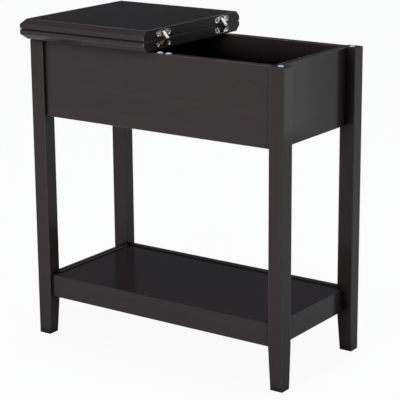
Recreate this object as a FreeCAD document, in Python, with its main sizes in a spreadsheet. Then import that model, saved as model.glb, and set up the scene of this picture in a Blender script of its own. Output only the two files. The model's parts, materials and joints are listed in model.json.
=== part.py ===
import FreeCAD, Part
import math
import os
from types import SimpleNamespace

import Sketcher

# Flip-top end table: four legs, a deep storage box, a lower shelf, and a top in two halves.
# The right half of the top folds over onto the left half on two concealed hinges.
# Frame: +Z up, +X towards the open end of the box, front at -Y, origin on the floor
# midway between the legs. The edges of the two halves that meet lie in the plane X = 0.
# Everything stands as folded: the hinged half lies on the fixed half, its underside up.

SIZES = {
    # Legs
    "span_x": 568.0,
    "span_y": 273.0,
    "leg_height": 589.2,
    "leg_width": 31.0,
    "leg_depth": 29.0,
    "leg_round": 1.8,
    "leg_top_round": 0.8,
    "foot_width": 26.0,
    "foot_depth": 25.0,
    "taper_height": 82.0,
    # Storage box
    "apron_height": 146.0,
    "apron_thickness": 15.0,
    "panel_thickness": 15.0,
    "front_recess": 6.5,
    "end_recess": 18.5,
    "edge_round": 1.2,
    "bottom_thickness": 6.0,
    "bottom_lift": 10.0,
    "groove_depth": 6.0,
    "groove_gap": 0.2,
    # Lower shelf
    "rail_lift": 80.5,
    "rail_height": 45.0,
    "rail_thickness": 15.0,
    "shelf_thickness": 12.0,
    "shelf_sink": 2.5,
    "shelf_gap": 0.5,
    "batten_width": 12.0,
    "batten_height": 15.0,
    "batten_setback": 12.0,
    # Top
    "end_overhang": 8.5,
    "side_overhang": 18.0,
    "board_thickness": 19.0,
    "board_chamfer": 10.0,
    "board_round": 1.2,
    "seam_round": 2.4,
    "lip_round": 3.0,
    "shadow_gap": 2.5,
    "hinge_gap": 0.6,
    # Bumpers and glides
    "bumper_radius": 5.8,
    "bumper_rise": 2.2,
    "bumper_start": 13.0,
    "bumper_spacing": 19.0,
    "glide_height": 2.0,
    "glide_radius": 9.0,
    "glide_sole_radius": 8.0,
    "nail_radius": 1.2,
    "nail_length": 14.0,
    # Concealed hinges
    "hinge_inset": 61.0,
    "screw_spacing": 34.0,
    "plate_height": 10.6,
    "plate_thickness": 2.5,
    "cup_width": 15.6,
    "cup_depth": 21.5,
    "cup_height": 13.6,
    "slot_width": 13.2,
    "slot_height": 12.0,
    "slot_depth": 19.5,
    "mortise_gap": 0.1,
    "pin_reach": 7.2,
    "tail_depth": 2.0,
    "tail_offset": 1.2,
    "arm_round": 2.4,
    "arm_width": 7.6,
    "fork_width": 12.6,
    "fork_gap": 8.2,
    "fork_bridge": 3.4,
    "pin_radius": 0.9,
    "pin_play": 0.75,
    # Fasteners
    "fit_gap": 0.05,
    "hole_spare": 0.5,
    "dowel_radius": 4.0,
    "dowel_length": 30.0,
    "apron_dowel_lift": 12.0,
    "apron_dowel_drop": 28.0,
    "rail_dowel_spacing": 21.0,
    "rail_dowel_shift": 4.5,
    "end_rail_dowel_shift": 6.0,
    "cam_radius": 7.5,
    "cam_skin": 2.5,
    "cam_setback": 24.0,
    "cam_inset": 29.0,
    "cam_slot_length": 9.0,
    "cam_slot_width": 1.6,
    "cam_slot_depth": 2.0,
    "cover_radius": 9.0,
    "cover_rim_radius": 8.2,
    "cover_thickness": 1.5,
    "bolt_radius": 3.0,
    "bolt_bite": 11.0,
    "collar_radius": 4.6,
    "bolt_spacing": 56.0,
    "screw_radius": 1.6,
    "screw_head_radius": 3.2,
    "screw_head_height": 1.6,
    "crown_rise": 0.5,
    "head_sink": 1.4,
    "sink_flare": 1.4,
    "hinge_screw_length": 15.0,
    "batten_screw_length": 22.0,
    "recess_length": 3.8,
    "recess_width": 0.9,
    "recess_depth": 1.1,
    # Cuts run past the faces that they open by this much
    "overrun": 2.0,
}

# Places of the batten screws, as shares of half the batten's length
BATTEN_SCREW_SHARES = (-0.8, 0, 0.8)

LEFT_RIGHT = {"left": -1, "right": 1}
FRONT_BACK = {"front": -1, "back": 1}

TURNS = {
    "+X": FreeCAD.Rotation(FreeCAD.Vector(0, 1, 0), 90),
    "-X": FreeCAD.Rotation(FreeCAD.Vector(0, 1, 0), -90),
    "+Y": FreeCAD.Rotation(FreeCAD.Vector(1, 0, 0), -90),
    "-Y": FreeCAD.Rotation(FreeCAD.Vector(1, 0, 0), 90),
    "+Z": FreeCAD.Rotation(),
    "-Z": FreeCAD.Rotation(FreeCAD.Vector(1, 0, 0), 180),
}
UPRIGHT = FreeCAD.Rotation(FreeCAD.Vector(1, 0, 0), 90)

doc = FreeCAD.newDocument("FlipTopEndTable")
sheet = doc.addObject("Spreadsheet::Sheet", "Sizes")
for row, (name, number) in enumerate(SIZES.items(), start=1):
    sheet.set(f"A{row}", name)
    sheet.set(f"B{row}", str(number))
    sheet.setAlias(f"B{row}", name)
doc.recompute()


class Length:
    """A length with its number and the spreadsheet formula that gives it."""

    def __init__(self, number, formula):
        self.number = number
        self.formula = formula

    def __add__(self, other):
        other = as_length(other)
        return Length(self.number + other.number, f"({self.formula} + {other.formula})")

    def __sub__(self, other):
        other = as_length(other)
        return Length(self.number - other.number, f"({self.formula} - {other.formula})")

    def __mul__(self, factor):
        return Length(self.number * factor, f"({self.formula} * {factor})")

    def __truediv__(self, factor):
        return Length(self.number / factor, f"({self.formula} / {factor})")

    def __neg__(self):
        return self * -1

    __rmul__ = __mul__


def as_length(given):
    return given if isinstance(given, Length) else Length(given, str(given))


def dome_radius(base, rise):
    """Radius of the sphere whose cap has this base radius and rise."""
    number = (base.number ** 2 + rise.number ** 2) / (2 * rise.number)
    return Length(number, f"(({base.formula} ^ 2 + {rise.formula} ^ 2) / (2 * {rise.formula}))")


S = SimpleNamespace(**{name: Length(sheet.get(name), f"Sizes.{name}") for name in SIZES})

# Places that several pieces share
LEG_X = S.span_x / 2 - S.leg_width / 2
LEG_Y = S.span_y / 2 - S.leg_depth / 2
LEG_INNER_X = S.span_x / 2 - S.leg_width
LEG_INNER_Y = S.span_y / 2 - S.leg_depth
APRON_Y = S.span_y / 2 - S.front_recess - S.apron_thickness / 2
APRON_INNER_Y = S.span_y / 2 - S.front_recess - S.apron_thickness
APRON_Z = S.leg_height - S.apron_height / 2
PANEL_X = S.span_x / 2 - S.end_recess - S.panel_thickness / 2
PANEL_INNER_X = S.span_x / 2 - S.end_recess - S.panel_thickness
BOTTOM_Z = S.leg_height - S.apron_height + S.bottom_lift
RAIL_Y = S.span_y / 2 - S.front_recess - S.rail_thickness / 2
RAIL_INNER_Y = S.span_y / 2 - S.front_recess - S.rail_thickness
END_RAIL_X = S.span_x / 2 - S.end_recess - S.rail_thickness / 2
END_RAIL_INNER_X = S.span_x / 2 - S.end_recess - S.rail_thickness
RAIL_Z = S.rail_lift + S.rail_height / 2
SHELF_LOW = S.rail_lift + S.rail_height - S.shelf_sink - S.shelf_thickness
BOARD_LENGTH = S.span_x / 2 + S.end_overhang
BOARD_WIDTH = S.span_y + S.side_overhang * 2
BOARD_LOW = S.leg_height + S.shadow_gap
SEAM_Z = BOARD_LOW + S.board_thickness + S.hinge_gap / 2
HINGE_AXIS_X = S.hinge_gap / 2
HINGE_Y = BOARD_WIDTH / 2 - S.hinge_inset
PLATE_DROP = S.hinge_gap / 2 + S.board_thickness / 2
CAM_Z = S.leg_height - S.cam_setback
DOWEL_HALF = S.dowel_length / 2
RAIL_DOWELS = {
    "rail": [RAIL_Z - S.rail_dowel_spacing / 2 - S.rail_dowel_shift,
             RAIL_Z + S.rail_dowel_spacing / 2 - S.rail_dowel_shift],
    "end_rail": [RAIL_Z - S.rail_dowel_spacing / 2 + S.end_rail_dowel_shift,
                 RAIL_Z + S.rail_dowel_spacing / 2 + S.end_rail_dowel_shift],
}
APRON_DOWELS = [BOTTOM_Z + S.bottom_thickness + S.apron_dowel_lift, S.leg_height - S.apron_dowel_drop]
PANEL_BOLTS = [APRON_Z - S.bolt_spacing / 2, APRON_Z + S.bolt_spacing / 2]
TOP_CAMS = [-S.cam_inset, S.cam_inset - LEG_INNER_X]

PARTS = []


def node(piece, label):
    piece.Label = label
    PARTS.append(piece)


def bind(feature, **lengths):
    for name, length in lengths.items():
        feature.setExpression(name, as_length(length).formula)


def place(feature, at, turn=FreeCAD.Rotation()):
    feature.Placement = FreeCAD.Placement(FreeCAD.Vector(), turn)
    for axis, length in zip("xyz", at):
        feature.setExpression(f"Placement.Base.{axis}", as_length(length).formula)


def block(size, centre):
    box = doc.addObject("Part::Box", "Block")
    bind(box, Length=size[0], Width=size[1], Height=size[2])
    place(box, [as_length(middle) - as_length(side) / 2 for middle, side in zip(centre, size)])
    return box


def rod(radius, length, start, direction):
    cylinder = doc.addObject("Part::Cylinder", "Rod")
    bind(cylinder, Radius=radius, Height=length)
    place(cylinder, start, TURNS[direction])
    return cylinder


def cone(start_radius, end_radius, length, start, direction):
    frustum = doc.addObject("Part::Cone", "Cone")
    bind(frustum, Radius1=start_radius, Radius2=end_radius, Height=length)
    place(frustum, start, TURNS[direction])
    return frustum


def joined(pieces):
    fusion = doc.addObject("Part::MultiFuse", "Joined")
    fusion.Shapes = pieces
    fusion.Refine = True
    return fusion


def carved(base, tools):
    cut = doc.addObject("Part::Cut", "Carved")
    cut.Base = base
    cut.Tool = tools[0] if len(tools) == 1 else joined(tools)
    return cut


def group(solids):
    compound = doc.addObject("Part::Compound", "Group")
    compound.Links = solids
    return compound


def edge_numbers(piece, wanted):
    doc.recompute()
    return [i for i, edge in enumerate(piece.Shape.Edges, start=1) if wanted(edge)]


def runs_along(axis):
    """Test for a straight edge parallel to an axis."""
    direction = FreeCAD.Vector(*[float(axis == letter) for letter in "XYZ"])

    def test(edge):
        ends = [vertex.Point for vertex in edge.Vertexes]
        if len(ends) < 2:
            return False
        run = ends[1] - ends[0]
        return run.cross(direction).Length < run.Length / 1000

    return test


def softened(base, radius, wanted):
    fillet = doc.addObject("Part::Fillet", "Softened")
    fillet.Base = base
    fillet.Edges = [(i, radius.number, radius.number) for i in edge_numbers(base, wanted)]
    return fillet


def bevelled(base, length, wanted):
    chamfer = doc.addObject("Part::Chamfer", "Bevelled")
    chamfer.Base = base
    chamfer.Edges = [(i, length.number, length.number) for i in edge_numbers(base, wanted)]
    return chamfer


def datum(sketch, name, kind, *rest):
    """A dimension of a sketch, bound to the spreadsheet; the last of rest is its length."""
    length = rest[-1]
    index = sketch.addConstraint(Sketcher.Constraint(kind, *rest[:-1], length.number))
    sketch.renameConstraint(index, name)
    sketch.setExpression(f"Constraints.{name}", length.formula)


def corner_arc(x, y, radius, start):
    circle = Part.Circle(FreeCAD.Vector(x, y, 0), FreeCAD.Vector(0, 0, 1), radius)
    return Part.ArcOfCircle(circle, math.radians(start), math.radians(start + 90))


def rounded_section(left, right, low, high, radius, at):
    """Sketch of a rectangle with rounded corners, its sides measured from the sketch's origin."""
    sketch = doc.addObject("Sketcher::SketchObject", "Section")
    place(sketch, at)
    x0, x1, y0, y1, r = [length.number for length in (left, right, low, high, radius)]
    point = FreeCAD.Vector
    sides = [
        (point(x0 + r, y0), point(x1 - r, y0)),
        (point(x1, y0 + r), point(x1, y1 - r)),
        (point(x1 - r, y1), point(x0 + r, y1)),
        (point(x0, y1 - r), point(x0, y0 + r)),
    ]
    corners = [(x1 - r, y0 + r, -90), (x1 - r, y1 - r, 0), (x0 + r, y1 - r, 90), (x0 + r, y0 + r, 180)]
    for (start, end), (x, y, angle) in zip(sides, corners):
        sketch.addGeometry(Part.LineSegment(start, end))
        sketch.addGeometry(corner_arc(x, y, r, angle))
    count = len(sides) + len(corners)
    for i in range(count):
        sketch.addConstraint(Sketcher.Constraint("Tangent", i, 2, (i + 1) % count, 1))
    for i, kind in enumerate(("Horizontal", "Vertical", "Horizontal", "Vertical")):
        sketch.addConstraint(Sketcher.Constraint(kind, 2 * i))
    for i in range(3, count, 2):
        sketch.addConstraint(Sketcher.Constraint("Equal", 1, i))
    datum(sketch, "corner", "Radius", 1, radius)
    datum(sketch, "right", "DistanceX", -1, 1, 2, 1, right)
    datum(sketch, "left", "DistanceX", -1, 1, 6, 1, left)
    datum(sketch, "low", "DistanceY", -1, 1, 0, 1, low)
    datum(sketch, "high", "DistanceY", -1, 1, 4, 1, high)
    return sketch


def link_outline(eye, tail, radius, at):
    """Upright sketch of a link with round ends about two points, given as distances from its origin."""
    sketch = doc.addObject("Sketcher::SketchObject", "Link")
    place(sketch, at, UPRIGHT)
    eye_point = FreeCAD.Vector(eye[0].number, eye[1].number, 0)
    tail_point = FreeCAD.Vector(tail[0].number, tail[1].number, 0)
    run = tail_point - eye_point
    side = FreeCAD.Vector(-run.y, run.x, 0).normalize() * radius.number
    heading = math.atan2(run.y, run.x)
    quarter = math.pi / 2
    axis = FreeCAD.Vector(0, 0, 1)
    tail_circle = Part.Circle(tail_point, axis, radius.number)
    eye_circle = Part.Circle(eye_point, axis, radius.number)
    sketch.addGeometry(Part.LineSegment(eye_point - side, tail_point - side))
    sketch.addGeometry(Part.ArcOfCircle(tail_circle, heading - quarter, heading + quarter))
    sketch.addGeometry(Part.LineSegment(tail_point + side, eye_point + side))
    sketch.addGeometry(Part.ArcOfCircle(eye_circle, heading + quarter, heading + 3 * quarter))
    for i in range(4):
        sketch.addConstraint(Sketcher.Constraint("Tangent", i, 2, (i + 1) % 4, 1))
    sketch.addConstraint(Sketcher.Constraint("Equal", 1, 3))
    datum(sketch, "round", "Radius", 1, radius)
    datum(sketch, "tail_across", "DistanceX", -1, 1, 1, 3, tail[0])
    datum(sketch, "tail_up", "DistanceY", -1, 1, 1, 3, tail[1])
    datum(sketch, "eye_across", "DistanceX", -1, 1, 3, 3, eye[0])
    datum(sketch, "eye_up", "DistanceY", -1, 1, 3, 3, eye[1])
    return sketch


def outward(side):
    return "+" if side > 0 else "-"


def inward(side):
    return "-" if side > 0 else "+"


def dowel_bore(start, direction):
    """Bore for half a dowel, from the meeting face at start into a piece."""
    return rod(S.dowel_radius + S.fit_gap, DOWEL_HALF + S.hole_spare, start, direction)


def cam_bores(start, direction, thickness, bolt_direction):
    """Bores in a board for a cam lock and for the bolt that it draws in."""
    drum = rod(S.cam_radius + S.fit_gap, thickness - S.cam_skin + S.fit_gap, start, direction)
    middle = cam_middle(start, direction, thickness)
    return [drum, rod(S.bolt_radius + S.fit_gap, S.cam_setback, middle, bolt_direction)]


def cam_middle(start, direction, thickness):
    """Place of a cam lock in the middle of its board."""
    axis = "XYZ".index(direction[1])
    middle = list(start)
    middle[axis] = start[axis] + (thickness / 2) * int(direction[0] + "1")
    return middle


def at_leg_top(edge):
    """Test for the edges around the top of a leg."""
    return edge.BoundBox.ZMin > S.leg_height.number - S.leg_top_round.number


def leg(x_side, y_side):
    """A leg with rounded corners, tapered towards the foot on its two inner faces."""
    shift_x = S.leg_width
    shift_y = S.leg_depth
    foot_left = shift_x + (S.leg_width - S.foot_width if x_side > 0 else 0)
    foot_low = shift_y + (S.leg_depth - S.foot_depth if y_side > 0 else 0)
    corner_x = x_side * LEG_X - S.leg_width / 2 - shift_x
    corner_y = y_side * LEG_Y - S.leg_depth / 2 - shift_y
    full = [shift_x, shift_x + S.leg_width, shift_y, shift_y + S.leg_depth, S.leg_round]
    foot = [foot_left, foot_left + S.foot_width, foot_low, foot_low + S.foot_depth, S.leg_round]
    loft = doc.addObject("Part::Loft", "Leg")
    loft.Sections = [
        rounded_section(*foot, (corner_x, corner_y, S.glide_height)),
        rounded_section(*full, (corner_x, corner_y, S.taper_height)),
        rounded_section(*full, (corner_x, corner_y, S.leg_height)),
    ]
    loft.Solid = True
    loft.Ruled = True
    x = x_side * LEG_INNER_X
    y = y_side * LEG_INNER_Y
    to_x = outward(x_side) + "X"
    to_y = outward(y_side) + "Y"
    bores = [dowel_bore((x, y_side * APRON_Y, z), to_x) for z in APRON_DOWELS]
    bores += [dowel_bore((x, y_side * RAIL_Y, z), to_x) for z in RAIL_DOWELS["rail"]]
    bores += [dowel_bore((x_side * END_RAIL_X, y, z), to_y) for z in RAIL_DOWELS["end_rail"]]
    bores += [rod(S.bolt_radius + S.fit_gap, S.bolt_bite + S.hole_spare, (x_side * PANEL_X, y, z), to_y)
              for z in PANEL_BOLTS]
    foot_x = x_side * (S.span_x / 2 - S.foot_width / 2)
    foot_y = y_side * (S.span_y / 2 - S.foot_depth / 2)
    bores.append(rod(S.nail_radius + S.fit_gap, S.nail_length + S.hole_spare,
                     (foot_x, foot_y, S.glide_height), "+Z"))
    return carved(softened(loft, S.leg_top_round, at_leg_top), bores)


def glide(x_side, y_side):
    """A nail-on glide under a foot."""
    x = x_side * (S.span_x / 2 - S.foot_width / 2)
    y = y_side * (S.span_y / 2 - S.foot_depth / 2)
    pad = cone(S.glide_sole_radius, S.glide_radius, S.glide_height, (x, y, 0), "+Z")
    nail = rod(S.nail_radius, S.glide_height + S.nail_length, (x, y, 0), "+Z")
    return joined([pad, nail])


def apron(y_side):
    """A long side of the storage box, grooved for its bottom and bored for dowels and cam locks."""
    length = LEG_INNER_X * 2
    blank = block((length, S.apron_thickness, S.apron_height), (0, y_side * APRON_Y, APRON_Z))
    board = softened(blank, S.edge_round, runs_along("X"))
    tools = [block((length + S.overrun * 2, S.groove_depth * 2, S.bottom_thickness + S.groove_gap),
                   (0, y_side * APRON_INNER_Y, BOTTOM_Z + S.bottom_thickness / 2))]
    for side in LEFT_RIGHT.values():
        tools += [dowel_bore((side * LEG_INNER_X, y_side * APRON_Y, z), inward(side) + "X")
                  for z in APRON_DOWELS]
    for x in TOP_CAMS:
        tools += cam_bores((x, y_side * APRON_INNER_Y, CAM_Z), outward(y_side) + "Y", S.apron_thickness, "+Z")
    return carved(board, tools)


def end_panel(x_side):
    """A short side of the storage box, bored for the cam locks that hold it to the legs."""
    blank = block((S.panel_thickness, LEG_INNER_Y * 2, S.apron_height), (x_side * PANEL_X, 0, APRON_Z))
    board = softened(blank, S.edge_round, runs_along("Y"))
    tools = []
    for side in FRONT_BACK.values():
        cam_y = side * (LEG_INNER_Y - S.cam_setback)
        for z in PANEL_BOLTS:
            start = (x_side * PANEL_INNER_X, cam_y, z)
            tools += cam_bores(start, outward(x_side) + "X", S.panel_thickness, outward(side) + "Y")
    return carved(board, tools)


def storage_bottom():
    """Thin bottom of the storage box, held in the grooves of the aprons."""
    length = (PANEL_INNER_X - S.groove_gap) * 2
    width = (APRON_INNER_Y + S.groove_depth - S.groove_gap) * 2
    return block((length, width, S.bottom_thickness), (0, 0, BOTTOM_Z + S.bottom_thickness / 2))


def long_rail(y_side):
    """Front or back rail of the shelf."""
    blank = block((LEG_INNER_X * 2, S.rail_thickness, S.rail_height), (0, y_side * RAIL_Y, RAIL_Z))
    rail = softened(blank, S.edge_round, runs_along("X"))
    tools = []
    for side in LEFT_RIGHT.values():
        tools += [dowel_bore((side * LEG_INNER_X, y_side * RAIL_Y, z), inward(side) + "X")
                  for z in RAIL_DOWELS["rail"]]
    tools += [batten_screw_hole(x, y_side) for x in batten_screw_places()]
    return carved(rail, tools)


def end_rail(x_side):
    """Left or right rail of the shelf."""
    blank = block((S.rail_thickness, LEG_INNER_Y * 2, S.rail_height), (x_side * END_RAIL_X, 0, RAIL_Z))
    rail = softened(blank, S.edge_round, runs_along("Y"))
    tools = []
    for side in FRONT_BACK.values():
        tools += [dowel_bore((x_side * END_RAIL_X, side * LEG_INNER_Y, z), inward(side) + "Y")
                  for z in RAIL_DOWELS["end_rail"]]
    return carved(rail, tools)


def shelf_panel():
    """Panel of the shelf, let in between the rails a little below their tops."""
    size = ((END_RAIL_INNER_X - S.shelf_gap) * 2, (RAIL_INNER_Y - S.shelf_gap) * 2, S.shelf_thickness)
    blank = block(size, (0, 0, SHELF_LOW + S.shelf_thickness / 2))
    return softened(blank, S.edge_round, lambda edge: runs_along("X")(edge) or runs_along("Y")(edge))


def batten_screw_places():
    half = END_RAIL_INNER_X - S.batten_setback
    return [half * share for share in BATTEN_SCREW_SHARES]


def batten_screw_start(x, y_side):
    face = RAIL_INNER_Y - S.batten_width
    return (x, y_side * face, SHELF_LOW - S.batten_height / 2)


def batten_screw_hole(x, y_side):
    return screw_hole(batten_screw_start(x, y_side), outward(y_side) + "Y", S.batten_screw_length)


def batten(y_side):
    """Strip under the shelf panel, screwed to a long rail."""
    size = ((END_RAIL_INNER_X - S.batten_setback) * 2, S.batten_width, S.batten_height)
    strip = block(size, (0, y_side * (RAIL_INNER_Y - S.batten_width / 2), SHELF_LOW - S.batten_height / 2))
    return carved(strip, [batten_screw_hole(x, y_side) for x in batten_screw_places()])


def screw(start, direction, length, crown=()):
    """Countersunk wood screw, its head at start, with a cross recess; a crown may stand on the head."""
    head = cone(S.screw_head_radius, S.screw_radius, S.screw_head_height, start, direction)
    shank = rod(S.screw_radius, length, start, direction)
    axis = "XYZ".index(direction[1])
    wings = []
    for long_side in range(3):
        if long_side == axis:
            continue
        size = [S.recess_width] * 3
        size[long_side] = S.recess_length
        size[axis] = S.recess_depth * 2
        wings.append(block(size, start))
    return carved(joined([head, shank, *crown]), wings)


def screw_hole(start, direction, length):
    head = cone(S.screw_head_radius + S.fit_gap, S.screw_radius + S.fit_gap, S.screw_head_height,
                start, direction)
    shank = rod(S.screw_radius + S.fit_gap, length + S.hole_spare, start, direction)
    return joined([head, shank])


def is_lower_outer(edge):
    """Test for the lower edges of the fixed half, away from its hinge edge."""
    box = edge.BoundBox
    low = BOARD_LOW.number
    return box.ZMax < low + S.overrun.number and box.XMin < -S.overrun.number


def is_upper_outer(edge):
    """Test for the upper edges of the folded half, away from its hinge edge."""
    box = edge.BoundBox
    high = SEAM_Z.number + S.hinge_gap.number / 2 + S.board_thickness.number
    return box.ZMin > high - S.overrun.number and box.XMin < -S.overrun.number


def is_off_seam(edge, rise):
    """Test for the level edges at a distance from the seam, apart from those of the hinge edge."""
    box = edge.BoundBox
    offsets = [abs(z - SEAM_Z.number) - rise.number for z in (box.ZMin, box.ZMax)]
    return box.XMin < -S.hinge_gap.number and all(abs(offset) < S.hinge_gap.number for offset in offsets)


def softened_board(board):
    """A half of the top with all its edges rounded, the most along the seam and the lip under the chamfer."""
    seam = edge_numbers(board, lambda edge: is_off_seam(edge, S.hinge_gap / 2))
    lip = edge_numbers(board, lambda edge: is_off_seam(edge, S.hinge_gap / 2 + S.board_thickness - S.board_chamfer))
    fillet = softened(board, S.board_round, lambda edge: True)
    radii = {**{i: S.seam_round.number for i in seam}, **{i: S.lip_round.number for i in lip}}
    fillet.Edges = [(i, radii.get(i, low), radii.get(i, high)) for i, low, high in fillet.Edges]
    return fillet


def top_half(low, is_outer, face_side):
    """A half of the top, its outer edges chamfered on the underside, mortised for two hinges."""
    centre = (-BOARD_LENGTH / 2, 0, low + S.board_thickness / 2)
    blank = block((BOARD_LENGTH, BOARD_WIDTH, S.board_thickness), centre)
    shaped = softened_board(bevelled(blank, S.board_chamfer, is_outer))
    middle = SEAM_Z + face_side * PLATE_DROP
    tools = []
    for y_side in FRONT_BACK.values():
        y = y_side * HINGE_Y
        tools += cup_solids(y, middle, S.mortise_gap)
        tools += [hinge_screw_hole(y + step, middle) for step in screw_steps()]
    return shaped, tools


def fixed_top():
    """Left half of the top, drawn down on the aprons by four cam bolts."""
    shaped, tools = top_half(BOARD_LOW, is_lower_outer, -1)
    for y_side in FRONT_BACK.values():
        tools += [rod(S.bolt_radius + S.fit_gap, S.bolt_bite + S.hole_spare,
                      (x, y_side * APRON_Y, BOARD_LOW), "+Z") for x in TOP_CAMS]
    return carved(shaped, tools)


def flip_top():
    """Right half of the top, folded over onto the fixed half."""
    shaped, tools = top_half(SEAM_Z + S.hinge_gap / 2, is_upper_outer, 1)
    return carved(shaped, tools)


def screw_steps():
    return [-S.screw_spacing / 2, S.screw_spacing / 2]


def cup_solids(y, middle, gap):
    """Plate and cup of a hinge half, behind the plane X = 0, grown by a gap on their hidden sides."""
    height = S.plate_height + gap * 2
    plate_depth = S.plate_thickness + gap
    cup_depth = S.cup_depth + gap
    plate = block((plate_depth, S.screw_spacing, height), (-plate_depth / 2, y, middle))
    ends = [rod(height / 2, plate_depth, (0, y + step, middle), "-X") for step in screw_steps()]
    cup = block((cup_depth, S.cup_width + gap * 2, S.cup_height + gap * 2), (-cup_depth / 2, y, middle))
    return [plate, *ends, cup]


def hinge_cup(y, face_side):
    """Mortised half of a hinge: a plate with two countersunk holes, and a slotted cup for the arms."""
    middle = SEAM_Z + face_side * PLATE_DROP
    body = joined(cup_solids(y, middle, as_length(0)))
    slot = block((S.slot_depth * 2, S.slot_width, S.slot_height), (0, y, middle))
    holes = [hinge_screw_hole(y + step, middle) for step in screw_steps()]
    return carved(body, [slot, *holes])


def hinge_screw_hole(y, middle):
    """Hole for a hinge screw whose head is sunk below the plate's face, in a flared countersink."""
    seat = S.screw_head_radius + S.fit_gap
    sink = cone(seat + S.sink_flare, seat, S.head_sink, (0, y, middle), "-X")
    return joined([sink, screw_hole((-S.head_sink, y, middle), "-X", S.hinge_screw_length)])


def hinge_screws(face_side):
    """The four screws of one half of the top, with raised heads."""
    middle = SEAM_Z + face_side * PLATE_DROP
    places = [y_side * HINGE_Y + step for y_side in FRONT_BACK.values() for step in screw_steps()]
    screws = []
    for y in places:
        seat = (-S.head_sink, y, middle)
        crown = dome(S.screw_head_radius, S.crown_rise, seat, "+X")
        screws.append(screw(seat, "-X", S.hinge_screw_length, [crown]))
    return group(screws)


def arm_blank(y, face_side, width):
    """A link from the centre pin into the cup of one half, before its eye is cut."""
    base = (-S.cup_depth, y, SEAM_Z - S.board_thickness - S.cup_depth)
    eye = (HINGE_AXIS_X + S.pin_reach - base[0], SEAM_Z - base[2])
    tail = (-S.tail_depth - base[0], SEAM_Z + face_side * (PLATE_DROP + S.tail_offset) - base[2])
    link = doc.addObject("Part::Extrusion", "Arm")
    link.Base = link_outline(eye, tail, S.arm_round, base)
    link.DirMode = "Normal"
    link.Symmetric = True
    link.Solid = True
    bind(link, LengthFwd=width)
    return link


def eye_bore(y, radius):
    start = (HINGE_AXIS_X + S.pin_reach, y - S.fork_width, SEAM_Z)
    return rod(radius, S.fork_width * 2, start, "+Y")


def single_arm(y):
    """Arm of the hinged half: one broad bar that carries the centre pin."""
    return carved(arm_blank(y, 1, S.arm_width), [eye_bore(y, S.pin_radius + S.fit_gap)])


def forked_arm(y):
    """Arm of the fixed half: a fork that straddles the other arm, bridged at its tail."""
    blank = arm_blank(y, -1, S.fork_width)
    reach = HINGE_AXIS_X + S.pin_reach + S.arm_round + S.overrun
    low = SEAM_Z - PLATE_DROP - S.tail_offset + S.fork_bridge
    high = SEAM_Z + S.arm_round + S.overrun
    tail = -S.tail_depth - S.arm_round - S.overrun
    throat = block((reach - tail, S.fork_gap, high - low), ((reach + tail) / 2, y, (high + low) / 2))
    return carved(blank, [throat, eye_bore(y, S.pin_radius + S.pin_play)])


def centre_pin(y):
    """Pin through both arms of a hinge."""
    start = (HINGE_AXIS_X + S.pin_reach, y - S.fork_width / 2, SEAM_Z)
    return rod(S.pin_radius, S.fork_width, start, "+Y")


def dome(radius, rise, start, direction):
    """Cap of a sphere that stands on a face at start."""
    ball_radius = dome_radius(radius, rise)
    axis = "XYZ".index(direction[1])
    side = 1 if direction[0] == "+" else -1
    centre = [as_length(middle) for middle in start]
    centre[axis] = centre[axis] + (rise - ball_radius) * side
    ball = doc.addObject("Part::Sphere", "Ball")
    bind(ball, Radius=ball_radius)
    place(ball, centre)
    cap = doc.addObject("Part::Common", "Dome")
    cap.Base = ball
    cap.Tool = rod(radius, rise, start, direction)
    return cap


def bumper(x, y):
    """Clear self-adhesive dome."""
    return dome(S.bumper_radius, S.bumper_rise, (x, y, S.leg_height), "+Z")


def leg_bumpers():
    return group([bumper(x_side * LEG_X, y_side * LEG_Y)
                  for x_side in LEFT_RIGHT.values() for y_side in FRONT_BACK.values()])


def apron_bumpers():
    places = [S.bumper_start, S.bumper_start + S.bumper_spacing]
    return group([bumper(x, -APRON_Y) for x in places])


def cam_lock(start, direction, thickness, bolt_direction):
    """Cam lock in its bore: a drum with a screwdriver slot and a hole for the bolt's end."""
    drum = rod(S.cam_radius, thickness - S.cam_skin, start, direction)
    axis = "XYZ".index(direction[1])
    bolt_axis = "XYZ".index(bolt_direction[1])
    size = [S.cam_slot_width] * 3
    size[axis] = S.cam_slot_depth * 2
    size[bolt_axis] = S.cam_slot_length
    middle = cam_middle(start, direction, thickness)
    bore = rod(S.bolt_radius + S.fit_gap, S.cam_radius * 2, middle, bolt_direction)
    return carved(drum, [block(size, start), bore])


def top_cam_places():
    return [(x, y_side) for x in TOP_CAMS for y_side in FRONT_BACK.values()]


def top_cam_locks():
    return group([cam_lock((x, y_side * APRON_INNER_Y, CAM_Z), outward(y_side) + "Y", S.apron_thickness, "+Z")
                  for x, y_side in top_cam_places()])


def top_cam_bolts():
    """Bolts screwed up into the fixed half; their collars hold it off the aprons."""
    solids = []
    for x, y_side in top_cam_places():
        length = S.cam_setback + S.shadow_gap + S.bolt_bite
        shank = rod(S.bolt_radius, length, (x, y_side * APRON_Y, CAM_Z), "+Z")
        collar = rod(S.collar_radius, S.shadow_gap, (x, y_side * APRON_Y, S.leg_height), "+Z")
        solids.append(joined([shank, collar]))
    return group(solids)


def cam_covers():
    """Round covers over the cam locks in the aprons."""
    return group([cone(S.cover_radius, S.cover_rim_radius, S.cover_thickness,
                       (x, y_side * APRON_INNER_Y, CAM_Z), inward(y_side) + "Y")
                  for x, y_side in top_cam_places()])


def panel_bolt_places():
    return [(x_side, y_side, z) for x_side in LEFT_RIGHT.values()
            for y_side in FRONT_BACK.values() for z in PANEL_BOLTS]


def panel_cam_locks():
    solids = []
    for x_side, y_side, z in panel_bolt_places():
        start = (x_side * PANEL_INNER_X, y_side * (LEG_INNER_Y - S.cam_setback), z)
        solids.append(cam_lock(start, outward(x_side) + "X", S.panel_thickness, outward(y_side) + "Y"))
    return group(solids)


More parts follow.
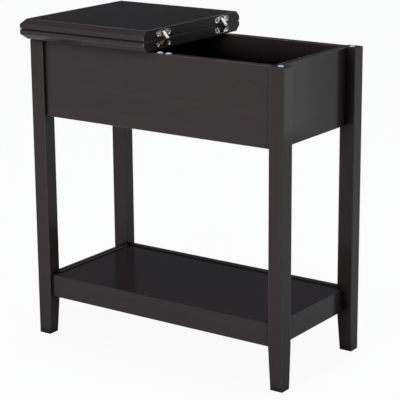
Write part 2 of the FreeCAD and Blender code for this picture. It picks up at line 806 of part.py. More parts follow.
def panel_cam_bolts():
    """Bolts from the legs into the cam locks of the end panels."""
    solids = []
    for x_side, y_side, z in panel_bolt_places():
        start = (x_side * PANEL_X, y_side * (LEG_INNER_Y - S.cam_setback), z)
        solids.append(rod(S.bolt_radius, S.cam_setback + S.bolt_bite, start, outward(y_side) + "Y"))
    return group(solids)


def dowel(start, direction):
    return rod(S.dowel_radius, S.dowel_length, start, direction)


def apron_dowels():
    return group([dowel((x_side * LEG_INNER_X - DOWEL_HALF, y_side * APRON_Y, z), "+X")
                  for x_side in LEFT_RIGHT.values() for y_side in FRONT_BACK.values() for z in APRON_DOWELS])


def rail_dowels():
    return group([dowel((x_side * LEG_INNER_X - DOWEL_HALF, y_side * RAIL_Y, z), "+X")
                  for x_side in LEFT_RIGHT.values() for y_side in FRONT_BACK.values()
                  for z in RAIL_DOWELS["rail"]])


def end_rail_dowels():
    return group([dowel((x_side * END_RAIL_X, y_side * LEG_INNER_Y - DOWEL_HALF, z), "+Y")
                  for x_side in LEFT_RIGHT.values() for y_side in FRONT_BACK.values()
                  for z in RAIL_DOWELS["end_rail"]])


def batten_screws():
    return group([screw(batten_screw_start(x, y_side), outward(y_side) + "Y", S.batten_screw_length)
                  for x in batten_screw_places() for y_side in FRONT_BACK.values()])


for y_name, y_side in FRONT_BACK.items():
    for x_name, x_side in LEFT_RIGHT.items():
        node(leg(x_side, y_side), f"leg_{y_name}_{x_name}")
        node(glide(x_side, y_side), f"foot_glide_{y_name}_{x_name}")
    node(apron(y_side), f"{y_name}_apron")
    node(long_rail(y_side), f"shelf_{y_name}_rail")
    node(batten(y_side), f"shelf_{y_name}_batten")
    hinge_y = y_side * HINGE_Y
    node(hinge_cup(hinge_y, -1), f"hinge_cup_fixed_{y_name}")
    node(hinge_cup(hinge_y, 1), f"hinge_cup_flip_{y_name}")
    node(forked_arm(hinge_y), f"hinge_arm_fixed_{y_name}")
    node(single_arm(hinge_y), f"hinge_arm_flip_{y_name}")
    node(centre_pin(hinge_y), f"hinge_pin_{y_name}")
for x_name, x_side in LEFT_RIGHT.items():
    node(end_panel(x_side), f"{x_name}_end_panel")
    node(end_rail(x_side), f"shelf_{x_name}_rail")
node(storage_bottom(), "storage_bottom")
node(shelf_panel(), "shelf_panel")
node(fixed_top(), "fixed_top")
node(flip_top(), "flip_top")
node(hinge_screws(-1), "hinge_screws_fixed")
node(hinge_screws(1), "hinge_screws_flip")
node(leg_bumpers(), "leg_bumpers")
node(apron_bumpers(), "apron_bumpers")
node(top_cam_locks(), "top_cam_locks")
node(top_cam_bolts(), "top_cam_bolts")
node(cam_covers(), "cam_covers")
node(panel_cam_locks(), "panel_cam_locks")
node(panel_cam_bolts(), "panel_cam_bolts")
node(apron_dowels(), "apron_dowels")
node(rail_dowels(), "rail_dowels")
node(end_rail_dowels(), "end_rail_dowels")
node(batten_screws(), "batten_screws")

doc.recompute()
failed = [item.Name for item in doc.Objects if {"Invalid", "Error"} & set(item.State)]
failed += [part.Label for part in PARTS if part.Shape.isNull() or not part.Shape.isValid()]
if failed:
    raise RuntimeError("could not be built: " + ", ".join(failed))
os.makedirs("parts", exist_ok=True)
for part in PARTS:
    part.Shape.exportStep(os.path.join("parts", part.Label + ".step"))
print(len(PARTS), "nodes written")
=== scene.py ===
"""Dresses the flip-top end table: stained wood, hinge metals and clear bumpers on a pale studio floor."""
import json
import math

import bmesh
import bpy
from mathutils import Matrix, Vector


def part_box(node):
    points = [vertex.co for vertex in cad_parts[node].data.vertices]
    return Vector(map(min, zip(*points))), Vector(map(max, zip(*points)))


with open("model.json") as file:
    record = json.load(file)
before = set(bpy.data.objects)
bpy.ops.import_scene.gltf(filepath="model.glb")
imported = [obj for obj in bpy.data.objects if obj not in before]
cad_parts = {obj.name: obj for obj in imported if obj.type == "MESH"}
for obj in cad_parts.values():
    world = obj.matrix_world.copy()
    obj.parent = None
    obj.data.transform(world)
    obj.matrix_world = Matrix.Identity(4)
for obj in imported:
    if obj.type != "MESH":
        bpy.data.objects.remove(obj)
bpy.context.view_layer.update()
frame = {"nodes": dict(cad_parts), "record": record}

nodes = frame["nodes"]
slot_of = {part["node"]: part["material_slot"] for part in frame["record"]["subparts"]}


def opaque(red, green, blue):
    return red, green, blue, 1.0


# Camera of the photograph, on the model's own sizes: metres, degrees and pixels of a 400 pixel frame
CAMERA_PLACE = Vector((1.6328, -2.2991, 1.0555))
CAMERA_AZIMUTH = 35.18
CAMERA_ELEVATION = 14.53
CAMERA_ROLL = -0.45
FOCAL_PIXELS = 1528.1
FRAME_PIXELS = 400
MIDDLE_ROW = 180
SENSOR_WIDTH = 36.0

# Grain: its sway in metres, and how often each pattern repeats in a metre along and across it
SWAY_SCALE = 5.0
SWAY = (0.0, 0.016, 0.016)
FIGURE_SCALES = (1.5, 26.0, 26.0)
STREAK_SCALES = (7.0, 300.0, 300.0)
PORE_SCALES = (55.0, 1500.0, 1500.0)
STREAK_HEIGHT = 0.35

# Wood: shares of each effect in its colour and roughness, and the smudges in a metre
FIGURE_SHARE = 0.45
STREAK_SHARE = 0.55
PORE_SHARE = 0.35
PORE_SHADE = 0.35
PORE_ROUGHNESS = 1.5
END_GRAIN_SHARE = 0.5
END_GRAIN_ROUGHNESS = 0.36
ARRIS_WEAR_AND_LIGHT_SHARE = 0.9
WOOD_SMUDGES = 14.0
# Colour that painted shade blends towards
PAINTED_SHADE_COLOUR = opaque(0.002, 0.0015, 0.0015)

# Seam between the two halves of the top, where shade is painted along its arrises, and the reach of the
# painted shade in inner corners, in metres
SEAM_HEIGHT = 0.611
SEAM_REACH = 0.003
SEAM_SHADE_SHARE = 0.35
CORNER_SHADE_REACH = 0.022

# Metal, plastic and clear rubber: shares and scales like those of wood
METAL_RUB_REACH = 0.0005
METAL_RUB_SHARE = 0.5
METAL_POLISH = 1.3
DRAWN_SCALES = (900.0, 900.0, 6000.0)
DRAWN_ROUGHNESS = 0.08
TARNISH_SHARE = 0.5
TARNISH_ROUGHNESS = 0.10
PLASTIC_SMUDGES = 60.0
PLASTIC_UNEVENNESS = 0.12
RUBBER_SMUDGES = 220.0
RUBBER_UNEVENNESS = 0.10
RUBBER_GLOSS = 0.10
RUBBER_CLEAR = opaque(0.82, 0.84, 0.85)
RUBBER_MILKY = opaque(0.70, 0.73, 0.75)
PATCH_SCALE = 45.0
GRIT_SCALE = 2200.0

# Ranges of noise that are spread over a whole effect
NOISE_RANGE = (0.3, 0.7)
PATCH_RANGE = (0.35, 0.65)
PORE_RANGE = (0.58, 0.70)

# Ranges of a normal's parts, of the cosine between two directions or of openness, over which a mask fades
HINGE_EDGE_RANGE = (0.1, 0.3)
FACES_UP_RANGE = (0.68, 0.74)
UPRIGHT_RANGE = (0.05, 0.12)
OFF_FACE_RANGE = (0.9955, 0.985)
OFF_CHAMFER_RANGE = (0.745, 0.80)
END_GRAIN_RANGE = (0.7, 0.85)
EDGE_RANGE = (0.99, 0.88)
CORNER_RANGE = (0.95, 0.60)
FADE_IN = (0.0, 1.0)
FADE_OUT = (1.0, 0.0)

# Floor: metres, the glow that shows it white, and the share that gloss shows from the feet outwards, which
# paints the table's shadow into reflections of the floor
FLOOR_RADIUS = 40.0
FLOOR_SIDES = 96
FLOOR_DROP = 0.0004
FLOOR_GREY = opaque(0.72, 0.72, 0.72)
FLOOR_GLOW = 0.93
PAINTED_SHADOW_RANGE = (0.30, 0.95)
PAINTED_SHADOW_SHARES = (0.15, 1.0)

# Room: upward parts of a direction, and the brightness at each
HORIZON_BAND = ((0.068, 0.09), (0.957, 0.0))
WALLS = ((0.18, 0.32), (0.03, 0.10))
CEILING = ((0.66, 0.80), (0.0, 0.45))
ROOM_TINT = (0.78, 0.92, 1.06)
OVERHEAD_ENERGY = 1.15
OVERHEAD_ANGLE = 75.0
OVERHEAD_FROM = Vector((0.10, 0.10, 0.99))

FLOAT = "NodeSocketFloat"
VECTOR = "NodeSocketVector"


# Small helpers for node trees

def wire(tree, source, target):
    tree.links.new(source, target)


def add(tree, kind, **settings):
    """A new node, with its properties and, by socket name in values, its plain inputs set."""
    values = settings.pop("values", {})
    made = tree.nodes.new(kind)
    for name, setting in settings.items():
        setattr(made, name, setting)
    for name, value in values.items():
        made.inputs[name].default_value = value
    return made


def maths(tree, operation, first, second=None):
    made = add(tree, "ShaderNodeMath", operation=operation)
    for socket, given in zip(made.inputs, (first, second)):
        if isinstance(given, (int, float)):
            socket.default_value = given
        elif given is not None:
            wire(tree, given, socket)
    return made.outputs[0]


def plus(tree, first, second):
    return maths(tree, "ADD", first, second)


def times(tree, first, second):
    return maths(tree, "MULTIPLY", first, second)


def larger(tree, first, second):
    return maths(tree, "MAXIMUM", first, second)


def blend_colour(tree, factor, first, second):
    made = add(tree, "ShaderNodeMix", data_type="RGBA")
    for name, given in (("Factor_Float", factor), ("A_Color", first), ("B_Color", second)):
        socket = next(s for s in made.inputs if s.identifier == name)
        if isinstance(given, bpy.types.NodeSocket):
            wire(tree, given, socket)
        else:
            socket.default_value = given
    return next(s for s in made.outputs if s.identifier == "Result_Color")


def span(tree, value, source, target=FADE_IN):
    """The value carried over from the source range to the target range, with its ends held."""
    made = add(tree, "ShaderNodeMapRange", clamp=True,
               values={"From Min": source[0], "From Max": source[1], "To Min": target[0], "To Max": target[1]})
    wire(tree, value, made.inputs["Value"])
    return made.outputs["Result"]


def parts_of(tree, vector):
    """A vector's parts, by the names X, Y and Z."""
    made = add(tree, "ShaderNodeSeparateXYZ")
    wire(tree, vector, made.inputs["Vector"])
    return made.outputs


def noise(tree, vector, scale, detail, roughness=0.5):
    made = add(tree, "ShaderNodeTexNoise", values={"Scale": scale, "Detail": detail, "Roughness": roughness})
    wire(tree, vector, made.inputs["Vector"])
    return made.outputs["Fac"]


def drawn_noise(tree, vector, scales, detail, roughness=0.5):
    """Noise drawn out by a scale of its own along each axis."""
    made = add(tree, "ShaderNodeVectorMath", operation="MULTIPLY")
    wire(tree, vector, made.inputs[0])
    made.inputs[1].default_value = scales
    return noise(tree, made.outputs[0], 1.0, detail, roughness)


def rub_patches(tree, vector, least):
    """Noise that leaves between the least share and all of an edge mask."""
    return span(tree, noise(tree, vector, PATCH_SCALE, detail=4.0, roughness=0.6), PATCH_RANGE, (least, 1.0))


def effect(name, inputs, outputs):
    """An empty node group with named sockets, and the sockets of its two end nodes."""
    tree = bpy.data.node_groups.new(name, "ShaderNodeTree")
    for label, kind in inputs:
        tree.interface.new_socket(label, in_out="INPUT", socket_type=kind)
    for label, kind in outputs:
        tree.interface.new_socket(label, in_out="OUTPUT", socket_type=kind)
    return tree, tree.nodes.new("NodeGroupInput").outputs, tree.nodes.new("NodeGroupOutput").inputs


def placed(tree, group, links, **values):
    """The outputs of a group put in a tree, its inputs wired by name in links or set by name in values."""
    made = add(tree, "ShaderNodeGroup", node_tree=group, values=values)
    for name, source in links.items():
        wire(tree, source, made.inputs[name])
    return made.outputs


# Effects that the finishes share

def build_open_grain():
    """Wood grain that runs along X: broad figure, fine streaks and short pores."""
    tree, given, out = effect("open_grain", [("Vector", VECTOR)],
                              [("Figure", FLOAT), ("Streak", FLOAT), ("Pore", FLOAT), ("Height", FLOAT)])
    sway = add(tree, "ShaderNodeTexNoise", values={"Scale": SWAY_SCALE, "Detail": 2.0})
    wire(tree, given["Vector"], sway.inputs["Vector"])
    shifted = add(tree, "ShaderNodeVectorMath", operation="MULTIPLY_ADD")
    wire(tree, sway.outputs["Color"], shifted.inputs[0])
    shifted.inputs[1].default_value = SWAY
    wire(tree, given["Vector"], shifted.inputs[2])
    flow = shifted.outputs[0]
    figure = span(tree, drawn_noise(tree, flow, FIGURE_SCALES, detail=3.0), NOISE_RANGE)
    streak = span(tree, drawn_noise(tree, flow, STREAK_SCALES, detail=4.0, roughness=0.6), NOISE_RANGE)
    pore = span(tree, drawn_noise(tree, flow, PORE_SCALES, detail=2.0, roughness=0.6), PORE_RANGE)
    height = plus(tree, times(tree, pore, -1.0), times(tree, streak, STREAK_HEIGHT))
    for name, socket in (("Figure", figure), ("Streak", streak), ("Pore", pore), ("Height", height)):
        wire(tree, socket, out[name])
    return tree


def build_rubbed_edge():
    """Mask of outer edges that hands and cloths have worn, broken up by noise."""
    tree, given, out = effect("rubbed_edge", [("Vector", VECTOR), ("Reach", FLOAT)], [("EdgeMask", FLOAT)])
    rounded = add(tree, "ShaderNodeBevel", samples=6)
    wire(tree, given["Reach"], rounded.inputs["Radius"])
    plain = add(tree, "ShaderNodeNewGeometry")
    meeting = add(tree, "ShaderNodeVectorMath", operation="DOT_PRODUCT")
    wire(tree, rounded.outputs["Normal"], meeting.inputs[0])
    wire(tree, plain.outputs["Normal"], meeting.inputs[1])
    edge = span(tree, meeting.outputs["Value"], EDGE_RANGE)
    wire(tree, times(tree, edge, rub_patches(tree, given["Vector"], least=0.25)), out["EdgeMask"])
    return tree


def build_arris_wear_and_light():
    """Masks of the rounded arrises of square-cut boards, where the surface leaves their faces and chamfers.

    Low is the share of the arris mask on the lips below chamfers; arrises that face up or stand upright get
    all of it. The mask is partly wear and partly painted light: a lighter painted highlight on most finishes,
    painted shade on the shelf rails. Arrises at the seam between the two halves of the top, apart from the
    hinge edge's, get none of
    it: they have a mask of their own, for painted shade along the seam.
    """
    tree, given, out = effect("arris_wear_and_light_mask", [("Vector", VECTOR), ("Normal", VECTOR), ("Low", FLOAT)],
                              [("EdgeMask", FLOAT), ("Seam", FLOAT)])
    level = maths(tree, "COMPARE", parts_of(tree, given["Vector"])["Z"], SEAM_HEIGHT)
    level.node.inputs[2].default_value = SEAM_REACH
    heading = parts_of(tree, given["Normal"])
    at_seam = times(tree, level, span(tree, heading["X"], HINGE_EDGE_RANGE, FADE_OUT))
    off_seam = maths(tree, "SUBTRACT", 1.0, at_seam)
    # Painted light goes on arrises that face up or stand upright, and only the Low share on the lips below
    # chamfers
    faces_up = span(tree, heading["Z"], FACES_UP_RANGE)
    upright = span(tree, maths(tree, "ABSOLUTE", heading["Z"]), UPRIGHT_RANGE, FADE_OUT)
    share = larger(tree, larger(tree, faces_up, upright), given["Low"])
    sides = add(tree, "ShaderNodeVectorMath", operation="ABSOLUTE")
    wire(tree, given["Normal"], sides.inputs[0])
    side = parts_of(tree, sides.outputs[0])
    facing = larger(tree, side["X"], larger(tree, side["Y"], side["Z"]))
    off_face = span(tree, facing, OFF_FACE_RANGE)
    off_chamfer = span(tree, facing, OFF_CHAMFER_RANGE)
    arris = times(tree, times(tree, off_face, off_chamfer), off_seam)
    patches = rub_patches(tree, given["Vector"], least=0.4)
    wire(tree, times(tree, times(tree, arris, share), patches), out["EdgeMask"])
    # Seam mask: painted shade along the arrises at the seam between the two halves
    wire(tree, times(tree, off_face, at_seam), out["Seam"])
    return tree


def build_painted_corner_shade():
    """Mask of inner corners, from ambient occlusion: painted shade where less light reaches."""
    tree, given, out = effect("painted_corner_shade", [("Reach", FLOAT)], [("CornerShade", FLOAT)])
    corner = add(tree, "ShaderNodeAmbientOcclusion", samples=8)
    wire(tree, given["Reach"], corner.inputs["Distance"])
    wire(tree, span(tree, corner.outputs["AO"], CORNER_RANGE), out["CornerShade"])
    return tree


def build_handling():
    """Soft smudges and a fine grit, for roughness that isn't even."""
    tree, given, out = effect("handling", [("Vector", VECTOR), ("Spread", FLOAT)],
                              [("Smudge", FLOAT), ("Grit", FLOAT)])
    cloud = add(tree, "ShaderNodeTexNoise", values={"Detail": 4.0, "Roughness": 0.55, "Distortion": 0.6})
    wire(tree, given["Vector"], cloud.inputs["Vector"])
    wire(tree, given["Spread"], cloud.inputs["Scale"])
    wire(tree, span(tree, cloud.outputs["Fac"], NOISE_RANGE), out["Smudge"])
    wire(tree, noise(tree, given["Vector"], GRIT_SCALE, detail=2.0), out["Grit"])
    return tree


OPEN_GRAIN = build_open_grain()
RUBBED_EDGE = build_rubbed_edge()
ARRIS_WEAR_AND_LIGHT = build_arris_wear_and_light()
PAINTED_CORNER_SHADE = build_painted_corner_shade()
HANDLING = build_handling()


# Finishes

def finish_base(name, **plain):
    """A material whose shader has its plain inputs set, with its tree, that shader and its coordinates."""
    material = bpy.data.materials.new(name)
    material.use_nodes = True
    tree = material.node_tree
    shader = tree.nodes["Principled BSDF"]
    for socket, value in plain.items():
        shader.inputs[socket.replace("_", " ")].default_value = value
    return material, tree, shader, add(tree, "ShaderNodeTexCoord").outputs


def raise_surface(tree, shader, height, strength, distance):
    bump = add(tree, "ShaderNodeBump", values={"Strength": strength, "Distance": distance})
    wire(tree, height, bump.inputs["Height"])
    wire(tree, bump.outputs["Normal"], shader.inputs["Normal"])


ALONG = {"X": (1.0, 0.0, 0.0), "Y": (0.0, 1.0, 0.0), "Z": (0.0, 0.0, 1.0)}
TURN_TO_X = {"X": (0.0, 0.0, 0.0), "Y": (0.0, 0.0, -math.pi / 2), "Z": (0.0, math.pi / 2, 0.0)}


def stained_wood(name, along, dark, light, arris_wear_and_painted_light, gloss, uneven, start, lip_arris_share=1.0, corner_shade=0.0, **plain):
    """Stained open-grained wood under satin lacquer, its grain along one axis."""
    material, tree, shader, where = finish_base(name, **plain)
    turn = add(tree, "ShaderNodeMapping", vector_type="POINT",
               values={"Rotation": TURN_TO_X[along], "Location": start})
    wire(tree, where["Object"], turn.inputs["Vector"])
    grain = placed(tree, OPEN_GRAIN, {"Vector": turn.outputs["Vector"]})
    touch = placed(tree, HANDLING, {"Vector": where["Object"]}, Spread=WOOD_SMUDGES)
    arris = placed(tree, ARRIS_WEAR_AND_LIGHT, {"Vector": where["Object"], "Normal": where["Normal"]}, Low=lip_arris_share)
    towards = add(tree, "ShaderNodeVectorMath", operation="DOT_PRODUCT")
    wire(tree, where["Normal"], towards.inputs[0])
    towards.inputs[1].default_value = ALONG[along]
    end_grain = span(tree, maths(tree, "ABSOLUTE", towards.outputs["Value"]), END_GRAIN_RANGE)
    tone = plus(tree, times(tree, grain["Figure"], FIGURE_SHARE), times(tree, grain["Streak"], STREAK_SHARE))
    darkest = opaque(*(part * PORE_SHADE for part in dark[:3]))
    colour = blend_colour(tree, tone, dark, light)
    colour = blend_colour(tree, times(tree, grain["Pore"], PORE_SHARE), colour, darkest)
    colour = blend_colour(tree, times(tree, end_grain, END_GRAIN_SHARE), colour, darkest)
    # Arris colour: partly wear, partly painted light (a painted highlight, and painted shade on the shelf
    # rails)
    colour = blend_colour(tree, times(tree, arris["EdgeMask"], ARRIS_WEAR_AND_LIGHT_SHARE), colour, arris_wear_and_painted_light)
    # Painted shade: the seam's arrises and, where given, inner corners blend towards near black
    painted_shade = times(tree, arris["Seam"], SEAM_SHADE_SHARE)
    # Painted shade in inner corners, from ambient occlusion
    if corner_shade:
        corner = placed(tree, PAINTED_CORNER_SHADE, {}, Reach=CORNER_SHADE_REACH)
        painted_shade = larger(tree, painted_shade, times(tree, corner["CornerShade"], corner_shade))
    wire(tree, blend_colour(tree, painted_shade, colour, PAINTED_SHADE_COLOUR), shader.inputs["Base Color"])
    sheen = plus(tree, times(tree, touch["Smudge"], uneven), gloss)
    sheen = plus(tree, sheen, times(tree, grain["Pore"], uneven * PORE_ROUGHNESS))
    sheen = plus(tree, sheen, times(tree, end_grain, END_GRAIN_ROUGHNESS))
    wire(tree, sheen, shader.inputs["Roughness"])
    raise_surface(tree, shader, grain["Height"], strength=0.3, distance=0.00001)
    return material


def worked_metal(name, colour, shade, rough, spread):
    """Plated or cast metal with a drawn grain, handled patches and brighter edges."""
    material, tree, shader, where = finish_base(name, Metallic=1.0)
    touch = placed(tree, HANDLING, {"Vector": where["Object"]}, Spread=spread)
    rub = placed(tree, RUBBED_EDGE, {"Vector": where["Object"]}, Reach=METAL_RUB_REACH)["EdgeMask"]
    drawn = drawn_noise(tree, where["Object"], DRAWN_SCALES, detail=2.0)
    tarnish = blend_colour(tree, times(tree, touch["Smudge"], TARNISH_SHARE), colour, shade)
    polished = opaque(*(min(1.0, part * METAL_POLISH) for part in colour[:3]))
    bright = blend_colour(tree, times(tree, rub, METAL_RUB_SHARE), tarnish, polished)
    wire(tree, bright, shader.inputs["Base Color"])
    sheen = plus(tree, times(tree, touch["Smudge"], TARNISH_ROUGHNESS), rough)
    wire(tree, plus(tree, sheen, times(tree, drawn, DRAWN_ROUGHNESS)), shader.inputs["Roughness"])
    raise_surface(tree, shader, plus(tree, drawn, touch["Grit"]), strength=0.06, distance=0.00012)
    return material


def moulded_plastic(name, colour, shade, rough):
    """Moulded plastic with a fine spark-eroded texture."""
    material, tree, shader, where = finish_base(name, Specular_IOR_Level=0.45)
    touch = placed(tree, HANDLING, {"Vector": where["Object"]}, Spread=PLASTIC_SMUDGES)
    wire(tree, blend_colour(tree, touch["Smudge"], colour, shade), shader.inputs["Base Color"])
    sheen = plus(tree, times(tree, touch["Smudge"], PLASTIC_UNEVENNESS), rough)
    wire(tree, sheen, shader.inputs["Roughness"])
    raise_surface(tree, shader, touch["Grit"], strength=0.10, distance=0.0002)
    return material


def clear_rubber(name):
    """Clear soft bumper, milky in places, with faint smudges on its gloss."""
    material, tree, shader, where = finish_base(name, IOR=1.46, Transmission_Weight=0.35,
                                                Specular_IOR_Level=0.6)
    touch = placed(tree, HANDLING, {"Vector": where["Object"]}, Spread=RUBBER_SMUDGES)
    wire(tree, blend_colour(tree, touch["Smudge"], RUBBER_CLEAR, RUBBER_MILKY), shader.inputs["Base Color"])
    sheen = plus(tree, times(tree, touch["Smudge"], RUBBER_UNEVENNESS), RUBBER_GLOSS)
    wire(tree, sheen, shader.inputs["Roughness"])
    raise_surface(tree, shader, touch["Grit"], strength=0.03, distance=0.0001)
    return material


def espresso(name, along, start, gloss=0.13, uneven=0.05, arris_wear_and_painted_light=opaque(0.100, 0.088, 0.088), lip_arris_share=1.0,
             corner_shade=0.75, shine=0.14):
    """The table's own dark stain, with a cool sheen."""
    return stained_wood(name, along, dark=opaque(0.0250, 0.0186, 0.0183),
                        light=opaque(0.0322, 0.0241, 0.0238), arris_wear_and_painted_light=arris_wear_and_painted_light, gloss=gloss, uneven=uneven,
                        start=start, lip_arris_share=lip_arris_share, corner_shade=corner_shade, Specular_IOR_Level=shine,
                        Specular_Tint=opaque(0.75, 0.88, 1.0))


ESPRESSO = {
    "X": espresso("espresso_along_x", "X", start=(0.31, 0.07, 0.03)),
    "Y": espresso("espresso_along_y", "Y", start=(0.09, 0.66, 0.52)),
    "Z": espresso("espresso_along_z", "Z", start=(0.13, 0.58, 0.85), arris_wear_and_painted_light=opaque(0.052, 0.043, 0.042),
                  shine=0.115),
}
# Tops: a painted highlight along their arrises, much lighter than the stain, and no painted corner shade
POLISHED_TOP = espresso("espresso_polished_top", "X", start=(0.48, 0.22, 0.61), gloss=0.08, uneven=0.02,
                        arris_wear_and_painted_light=opaque(0.240, 0.220, 0.218), lip_arris_share=0.1, corner_shade=0.0)
END_PANEL = espresso("espresso_end_panel", "Y", start=(0.77, 0.41, 0.19), shine=0.11)
# Front and back shelf rails: painted shade along their arrises, darker than the stain
SHELF_RAIL_SHADE = espresso("espresso_shelf_rail_painted_shade", "X", start=(0.92, 0.35, 0.27),
                      arris_wear_and_painted_light=opaque(0.014, 0.0095, 0.0092))
PLAIN_FINISHES = {
    "storage_board": stained_wood("storage_board", "X", dark=opaque(0.012, 0.0095, 0.009),
                                  light=opaque(0.018, 0.0145, 0.0135), arris_wear_and_painted_light=opaque(0.03, 0.024, 0.022),
                                  gloss=0.48, uneven=0.08, start=(0.2, 0.9, 0.4), Specular_IOR_Level=0.35),
    "beech": stained_wood("beech_dowel", "X", dark=opaque(0.45, 0.30, 0.18), light=opaque(0.62, 0.46, 0.30),
                          arris_wear_and_painted_light=opaque(0.68, 0.52, 0.36), gloss=0.5, uneven=0.08, start=(0.5, 0.1, 0.7),
                          Specular_IOR_Level=0.4),
    "hinge_nickel": worked_metal("hinge_nickel", opaque(0.58, 0.55, 0.535), opaque(0.45, 0.43, 0.415),
                                 rough=0.16, spread=260.0),
    "hinge_bronze": worked_metal("hinge_bronze", opaque(0.32, 0.22, 0.13), opaque(0.18, 0.125, 0.075),
                                 rough=0.30, spread=320.0),
    "zinc": worked_metal("cam_zinc", opaque(0.55, 0.55, 0.56), opaque(0.42, 0.42, 0.44),
                         rough=0.34, spread=180.0),
    "steel": worked_metal("bolt_steel", opaque(0.60, 0.60, 0.59), opaque(0.45, 0.45, 0.45),
                          rough=0.26, spread=200.0),
    "clear_dome": clear_rubber("clear_bumper"),
    "dark_cover": moulded_plastic("cam_cover_brown", opaque(0.022, 0.018, 0.017), opaque(0.034, 0.028, 0.026),
                                  rough=0.36),
    "glide_plastic": moulded_plastic("glide_black", opaque(0.025, 0.025, 0.026), opaque(0.045, 0.045, 0.046),
                                     rough=0.5),
}
CUP_NICKEL = worked_metal("cup_nickel", opaque(0.55, 0.545, 0.54), opaque(0.40, 0.395, 0.39),
                          rough=0.15, spread=260.0)
SCREW_NICKEL = worked_metal("screw_nickel", opaque(0.50, 0.495, 0.48), opaque(0.38, 0.375, 0.365),
                            rough=0.16, spread=260.0)
FINISH_BY_START = {
    ("fixed_top", "flip_top"): POLISHED_TOP,
    ("left_end_panel", "right_end_panel"): END_PANEL,
    ("shelf_front_rail", "shelf_back_rail"): SHELF_RAIL_SHADE,
    ("hinge_cup",): CUP_NICKEL,
    ("hinge_screws",): SCREW_NICKEL,
}


def grain_axis(name):
    """The grain runs along a board's longest side."""
    low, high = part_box(name)
    sides = [high[i] - low[i] for i in range(3)]
    return "XYZ"[sides.index(max(sides))]


def finish_for(name):
    """A piece's finish: that of its own name if it has one, and otherwise that of its material slot."""
    for starts, finish in FINISH_BY_START.items():
        if name.startswith(starts):
            return finish
    if slot_of[name] == "espresso_wood":
        return ESPRESSO[grain_axis(name)]
    return PLAIN_FINISHES[slot_of[name]]


def dress(name, piece):
    finish = finish_for(name)
    if not piece.material_slots:
        piece.data.materials.append(finish)
    for slot in piece.material_slots:
        slot.material = finish


for node_name, node_piece in nodes.items():
    dress(node_name, node_piece)


# Stage: floor, light and camera

def pale_floor():
    """A wide floor that shows white under the table's soft shadow, with a painted shadow near the feet that
    only gloss shows.
    """
    shape = bmesh.new()
    bmesh.ops.create_circle(shape, cap_ends=True, segments=FLOOR_SIDES, radius=FLOOR_RADIUS)
    bmesh.ops.translate(shape, vec=Vector((0.0, 0.0, -FLOOR_DROP)), verts=shape.verts)
    mesh = bpy.data.meshes.new("floor")
    shape.to_mesh(mesh)
    shape.free()
    floor = bpy.data.objects.new("floor", mesh)
    bpy.context.scene.collection.objects.link(floor)
    material, tree, shader, where = finish_base("floor_white", Base_Color=FLOOR_GREY, Roughness=0.7,
                                                Specular_IOR_Level=0.1)
    reach = add(tree, "ShaderNodeVectorMath", operation="LENGTH")
    wire(tree, where["Object"], reach.inputs[0])
    # Painted shadow of the table near its feet, seen only in gloss
    outside_painted_shadow = span(tree, reach.outputs["Value"], PAINTED_SHADOW_RANGE, PAINTED_SHADOW_SHARES)
    path = add(tree, "ShaderNodeLightPath").outputs
    mirrored = times(tree, path["Is Glossy Ray"], outside_painted_shadow)
    seen = larger(tree, path["Is Camera Ray"], larger(tree, mirrored, path["Is Transmission Ray"]))
    white = add(tree, "ShaderNodeEmission", values={"Color": opaque(1.0, 1.0, 1.0), "Strength": 1.0})
    mix = add(tree, "ShaderNodeMixShader")
    wire(tree, times(tree, seen, FLOOR_GLOW), mix.inputs["Fac"])
    wire(tree, shader.outputs["BSDF"], mix.inputs[1])
    wire(tree, white.outputs["Emission"], mix.inputs[2])
    wire(tree, mix.outputs["Shader"], tree.nodes["Material Output"].inputs["Surface"])
    mesh.materials.append(material)


def studio_world():
    """A low pale band around the horizon, walls that are dim below, and a soft pale ceiling."""
    world = bpy.data.worlds.new("studio")
    world.use_nodes = True
    tree = world.node_tree
    upward = parts_of(tree, add(tree, "ShaderNodeTexCoord").outputs["Generated"])["Z"]
    band, walls, ceiling = (span(tree, upward, *part) for part in (HORIZON_BAND, WALLS, CEILING))
    cool = add(tree, "ShaderNodeVectorMath", operation="SCALE")
    cool.inputs[0].default_value = ROOM_TINT
    wire(tree, plus(tree, walls, ceiling), cool.inputs["Scale"])
    both = add(tree, "ShaderNodeVectorMath", operation="ADD")
    wire(tree, band, both.inputs[0])
    wire(tree, cool.outputs["Vector"], both.inputs[1])
    wire(tree, both.outputs["Vector"], tree.nodes["Background"].inputs["Color"])
    bpy.context.scene.world = world


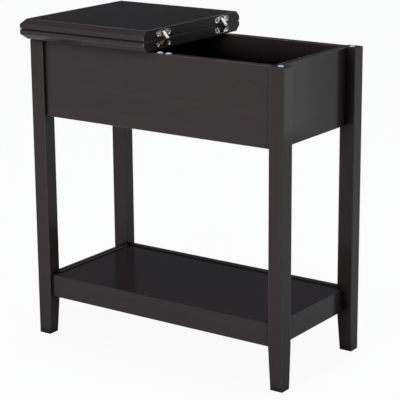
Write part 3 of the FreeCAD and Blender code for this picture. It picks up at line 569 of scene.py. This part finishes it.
def overhead_light():
    lamp = bpy.data.lights.new("overhead", "SUN")
    lamp.energy = OVERHEAD_ENERGY
    lamp.angle = math.radians(OVERHEAD_ANGLE)
    holder = bpy.data.objects.new("overhead", lamp)
    holder.matrix_world = OVERHEAD_FROM.to_track_quat("Z", "Y").to_matrix().to_4x4()
    bpy.context.scene.collection.objects.link(holder)


def softbox(name, place, aim, size, energy, mirrored=True):
    """A square soft lamp at a place, facing the point aimed at, which gloss shows or doesn't."""
    lamp = bpy.data.lights.new(name, "AREA")
    lamp.energy = energy
    lamp.size = size
    holder = bpy.data.objects.new(name, lamp)
    turn = (aim - place).to_track_quat("-Z", "Y").to_matrix().to_4x4()
    holder.matrix_world = Matrix.Translation(place) @ turn
    holder.visible_glossy = mirrored
    bpy.context.scene.collection.objects.link(holder)


def photo_camera():
    data = bpy.data.cameras.new("photo_camera")
    data.sensor_width = SENSOR_WIDTH
    data.lens = FOCAL_PIXELS / FRAME_PIXELS * data.sensor_width
    data.shift_y = (MIDDLE_ROW - FRAME_PIXELS / 2) / FRAME_PIXELS
    turn, tilt, roll = (math.radians(angle) for angle in (CAMERA_AZIMUTH, CAMERA_ELEVATION, CAMERA_ROLL))
    back = Vector((math.sin(turn) * math.cos(tilt), -math.cos(turn) * math.cos(tilt), math.sin(tilt)))
    right = Vector((math.cos(turn), math.sin(turn), 0.0))
    up = back.cross(right)
    across = math.cos(roll) * right + math.sin(roll) * up
    upward = math.cos(roll) * up - math.sin(roll) * right
    facing = Matrix((across, upward, back)).transposed().to_4x4()
    camera = bpy.data.objects.new("photo_camera", data)
    camera.matrix_world = Matrix.Translation(CAMERA_PLACE) @ facing
    bpy.context.scene.collection.objects.link(camera)
    bpy.context.scene.camera = camera


pale_floor()
studio_world()
overhead_light()
softbox("front_softbox", place=Vector((0.15, -2.0, 0.70)), aim=Vector((0.0, -0.1, 0.50)),
        size=0.5, energy=30.0, mirrored=False)
softbox("right_card", place=Vector((0.72, 0.5, 0.42)), aim=Vector((0.28, -0.05, 0.55)),
        size=0.24, energy=0.165)
softbox("back_softbox", place=Vector((0.45, 1.75, 1.85)), aim=Vector((0.0, 0.0, 0.6)),
        size=1.2, energy=6.5)
photo_camera()
bpy.context.scene.view_settings.view_transform = "Standard"
